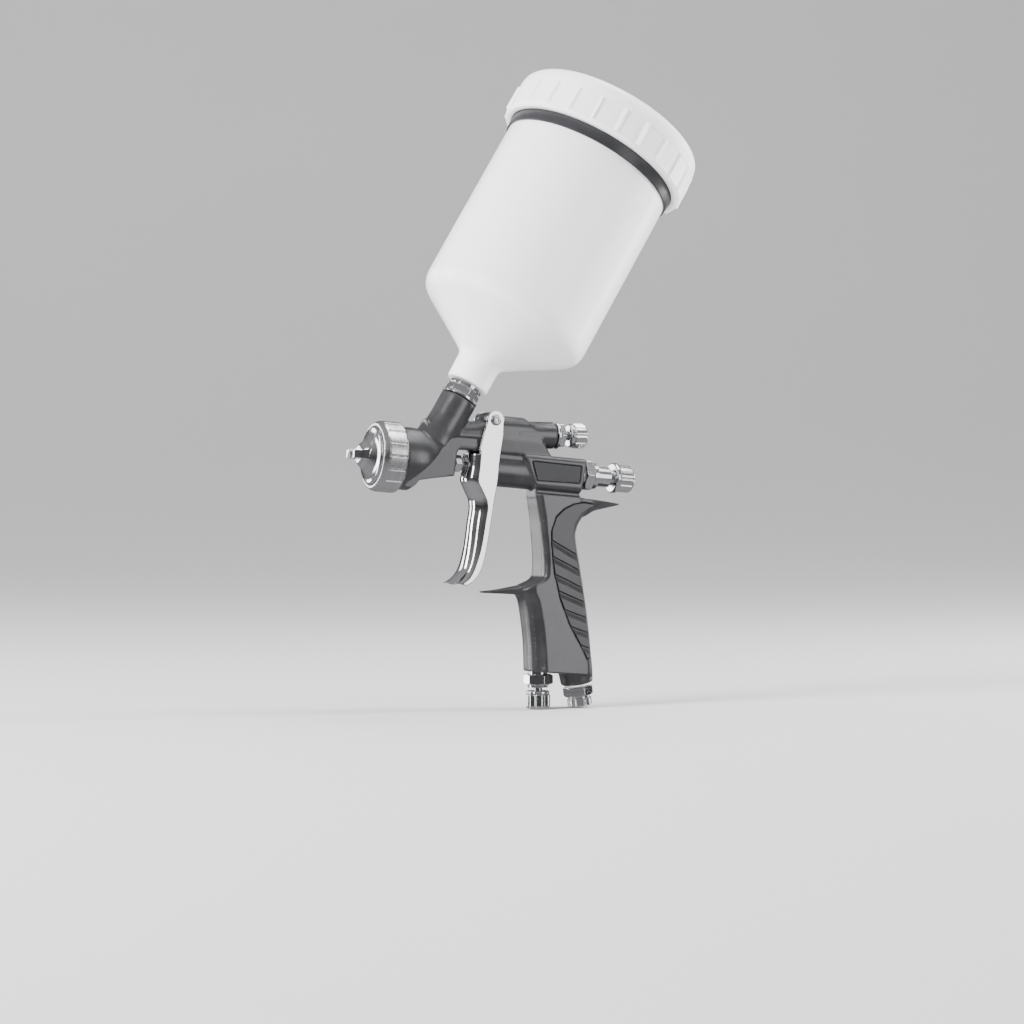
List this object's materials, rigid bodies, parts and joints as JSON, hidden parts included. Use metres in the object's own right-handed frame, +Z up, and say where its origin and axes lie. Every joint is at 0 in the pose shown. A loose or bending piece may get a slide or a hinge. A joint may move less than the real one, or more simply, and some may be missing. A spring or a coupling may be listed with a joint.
{
  "type": "gravity feed spray gun",
  "caption": "Gravity-feed air spray gun with a tilted white plastic cup, chrome trigger, air cap with horns, fluid, fan and air knobs, and a threaded air inlet.",
  "frame": {"origin": "middle of the hand grip, in the symmetry plane, where a hand holds the gun", "axes": "+Z up as the gun is held, +X to the rear of the gun, spray leaves towards -X and a little upwards (needle axis nose up by 4.46 degrees); Y = 0 is the symmetry plane"},
  "size_m": [0.194, 0.1068, 0.3398],
  "materials": {
    "gunmetal": "dark anodised forging, satin",
    "inlay": "dark anodised, fine satin",
    "plate": "dark satin plate",
    "chrome": "bright chrome plating",
    "steel": "turned stainless steel",
    "brass": "turned brass",
    "cup_plastic": "translucent white polypropylene, soft gloss",
    "lid_plastic": "milky white polypropylene, satin",
    "rubber": "dark grey rubber",
    "ptfe": "white PTFE"
  },
  "bodies": {
    "gun": {"gun_body": "gunmetal", "side_plate_left": "plate", "side_plate_right": "plate", "grip_inlay_left": "inlay", "grip_inlay_right": "inlay", "fluid_nozzle": "steel", "air_distributor": "brass", "packing_seal": "ptfe", "packing_gland": "chrome", "air_valve_guide": "chrome", "air_valve_seat": "ptfe", "air_valve_spring": "steel", "air_valve_spring_seat": "brass", "needle_spring": "steel", "rear_bush": "chrome", "fan_valve_housing": "chrome", "regulator_bush": "chrome", "inlet_gasket": "ptfe", "inlet_nipple": "chrome", "trigger_pin": "steel", "trigger_screw": "steel"},
    "trigger": {"trigger": "chrome"},
    "needle": {"fluid_needle": "steel", "needle_chuck": "brass"},
    "air_valve": {"air_valve_rod": "steel"},
    "spring_guide": {"needle_spring_guide": "brass"},
    "fluid_knob": {"fluid_knob": "chrome"},
    "fan_seal": {"fan_spindle_seal": "rubber"},
    "fan_knob": {"fan_spindle": "steel", "fan_knob": "chrome", "fan_knob_screw": "steel"},
    "regulator_seal": {"regulator_seal": "rubber"},
    "regulator_knob": {"regulator_spindle": "steel", "regulator_knob": "chrome", "regulator_knob_screw": "steel"},
    "cap_carrier": {"air_cap_snap_ring": "steel"},
    "air_cap_ring": {"air_cap_ring": "chrome"},
    "air_cap": {"air_cap": "chrome"},
    "cup_washer": {"cup_washer": "chrome"},
    "cup": {"cup_adapter": "chrome", "cup_body": "cup_plastic", "cup_band": "rubber", "cup_filter": "ptfe"},
    "lid_seal": {"lid_seal": "ptfe"},
    "lid": {"cup_lid": "lid_plastic"},
    "vent_plug": {"lid_vent_plug": "rubber"}
  },
  "joints": [
    {"name": "trigger_pull", "type": "hinge", "parent": "gun", "child": "trigger", "pos_m": [-0.04131, 0, 0.08758], "axis": [0, -1, 0], "range_deg": [0, 13], "stiffness_Nm_per_rad": 1.5, "springref_deg": -22.92},
    {"name": "needle_slide", "type": "slide", "parent": "gun", "child": "needle", "axis": [0.997, 0, -0.0778], "range_m": [0, 0.0055], "deforming": ["needle_spring"]},
    {"name": "air_valve_slide", "type": "slide", "parent": "gun", "child": "air_valve", "axis": [0.997, 0, -0.0778], "range_m": [0, 0.0055], "deforming": ["air_valve_spring"]},
    {"name": "fluid_knob_travel", "type": "slide", "parent": "gun", "child": "spring_guide", "axis": [0.997, 0, -0.0778], "range_m": [0, 0.005]},
    {"name": "fluid_knob_turn", "type": "hinge", "parent": "spring_guide", "child": "fluid_knob", "pos_m": [0.03657, 0, 0.05733], "axis": [0.997, 0, -0.0778], "range_deg": [0, 1454.4]},
    {"name": "fan_knob_travel", "type": "slide", "parent": "gun", "child": "fan_seal", "axis": [1, 0, -0.0063], "range_m": [0, 0.0015]},
    {"name": "fan_knob_turn", "type": "hinge", "parent": "fan_seal", "child": "fan_knob", "pos_m": [-0.00869, 0, 0.08022], "axis": [1, 0, -0.0063], "range_deg": [0, 545.4]},
    {"name": "regulator_travel", "type": "slide", "parent": "gun", "child": "regulator_seal", "axis": [0, 0, -1], "range_m": [0, 0.002]},
    {"name": "regulator_turn", "type": "hinge", "parent": "regulator_seal", "child": "regulator_knob", "pos_m": [-0.01275, 0, -0.04645], "axis": [0, 0, -1], "range_deg": [0, 727.2]},
    {"name": "ring_travel", "type": "slide", "parent": "gun", "child": "cap_carrier", "axis": [-0.997, 0, 0.0778], "range_m": [0, 0.008]},
    {"name": "ring_turn", "type": "hinge", "parent": "cap_carrier", "child": "air_cap_ring", "pos_m": [-0.10002, 0, 0.06798], "axis": [-0.997, 0, 0.0778], "range_deg": [0, 1454.4]},
    {"name": "air_cap_turn", "type": "hinge", "parent": "cap_carrier", "child": "air_cap", "pos_m": [-0.105, 0, 0.06837], "axis": [-0.997, 0, 0.0778], "continuous": true},
    {"name": "cup_travel", "type": "slide", "parent": "gun", "child": "cup_washer", "axis": [0.5114, 0, 0.8593], "range_m": [0, 0.008]},
    {"name": "cup_turn", "type": "hinge", "parent": "cup_washer", "child": "cup", "pos_m": [-0.07788, 0, 0.06626], "axis": [0.5114, 0, 0.8593], "range_deg": [0, 1454.4]},
    {"name": "lid_travel", "type": "slide", "parent": "cup", "child": "lid_seal", "axis": [0.5114, 0, 0.8593], "range_m": [0, 0.021]},
    {"name": "lid_turn", "type": "hinge", "parent": "lid_seal", "child": "lid", "pos_m": [-0.07788, 0, 0.06626], "axis": [0.5114, 0, 0.8593], "range_deg": [0, 545.4]},
    {"name": "vent_plug_slide", "type": "slide", "parent": "lid", "child": "vent_plug", "axis": [0.5114, 0, 0.8593], "range_m": [0, 0.012]}
  ],
  "couplings": [
    {"joint": "needle_slide", "follows": "trigger_pull", "m_per_rad": 0.0241},
    {"joint": "air_valve_slide", "follows": "trigger_pull", "m_per_rad": 0.0241},
    {"joint": "fluid_knob_turn", "follows": "fluid_knob_travel", "rad_per_m": 5026.5},
    {"joint": "fan_knob_turn", "follows": "fan_knob_travel", "rad_per_m": 6283.2},
    {"joint": "regulator_turn", "follows": "regulator_travel", "rad_per_m": 6283.2},
    {"joint": "ring_turn", "follows": "ring_travel", "rad_per_m": 3141.6},
    {"joint": "cup_turn", "follows": "cup_travel", "rad_per_m": 3141.6},
    {"joint": "lid_turn", "follows": "lid_travel", "rad_per_m": 448.8}
  ]
}
